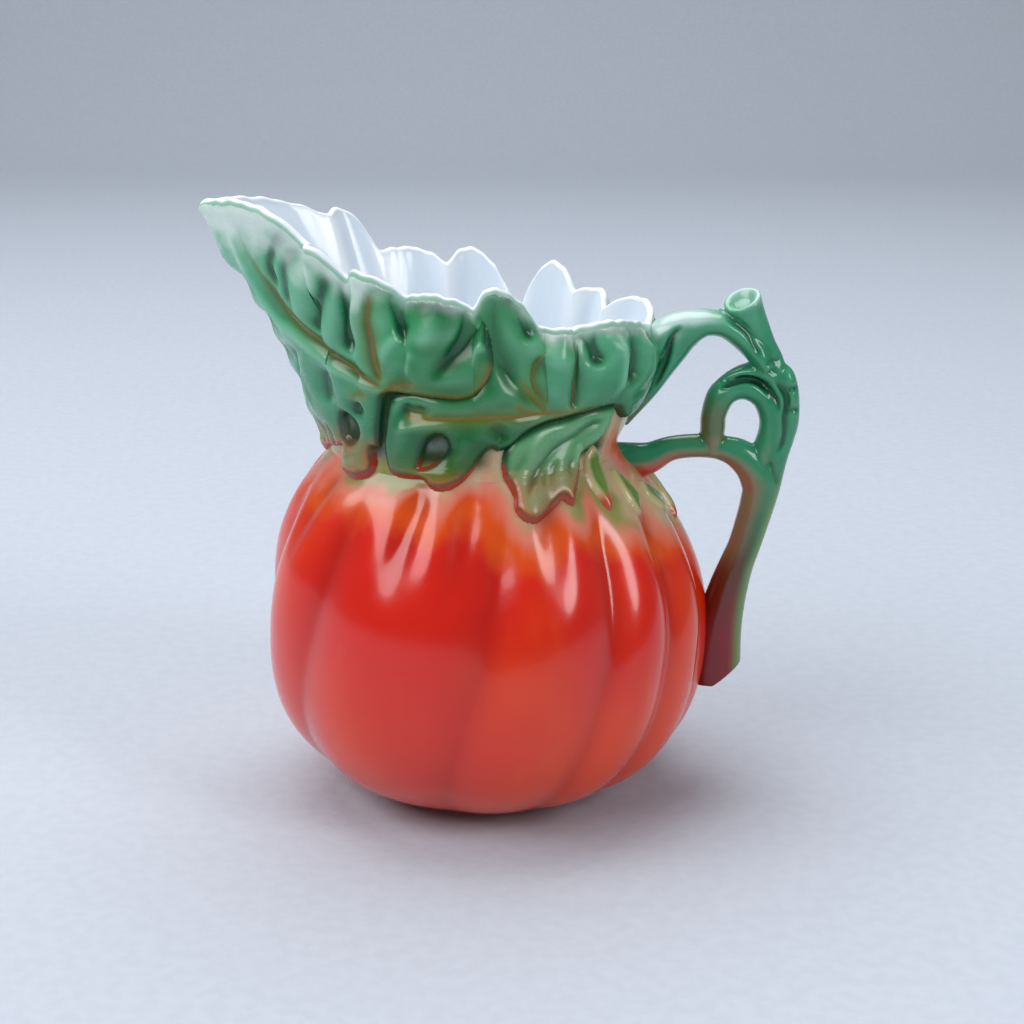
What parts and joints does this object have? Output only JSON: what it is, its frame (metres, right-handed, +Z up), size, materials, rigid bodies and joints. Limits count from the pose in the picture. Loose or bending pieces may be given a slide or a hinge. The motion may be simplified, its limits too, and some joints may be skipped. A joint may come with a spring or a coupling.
{
  "type": "creamer jug",
  "caption": "Tomato-shaped porcelain creamer: lobed hollow body, leaf collar with a ruffled rim and pouring lip, and a vine handle with an arch and a tendril eye.",
  "frame": {"origin": "middle of the flat foot, on the surface that the jug stands on", "axes": "+Z up, -X towards the pouring lip, +X towards the handle"},
  "size_m": [0.0936, 0.0705, 0.0965],
  "materials": {
    "red_glaze": "glossy red-orange glaze, paler towards the foot",
    "white_glaze": "glossy clear glaze over white porcelain",
    "leaf_glaze": "glossy green glaze, pale at the rim, with painted veins",
    "sepal_glaze": "glossy yellow-green glaze fading to orange",
    "vine_glaze": "glossy green glaze fading to maroon at the foot"
  },
  "bodies": {
    "root": {"tomato_body": "red_glaze", "neck_wall": "white_glaze", "handle_stem": "vine_glaze", "handle_upper_branch": "vine_glaze", "handle_arch_branch": "vine_glaze", "handle_tendril": "vine_glaze", "tendril_bract": "vine_glaze", "stem_sheath": "vine_glaze", "spout_leaf_front": "leaf_glaze", "side_leaf_front": "leaf_glaze", "hanging_leaf_front": "leaf_glaze", "sepal_front_1": "sepal_glaze", "sepal_front_2": "sepal_glaze", "sepal_front_3": "sepal_glaze", "spout_leaf_back": "leaf_glaze", "side_leaf_back": "leaf_glaze", "hanging_leaf_back": "leaf_glaze", "sepal_back_1": "sepal_glaze", "sepal_back_2": "sepal_glaze", "sepal_back_3": "sepal_glaze"}
  },
  "joints": []
}
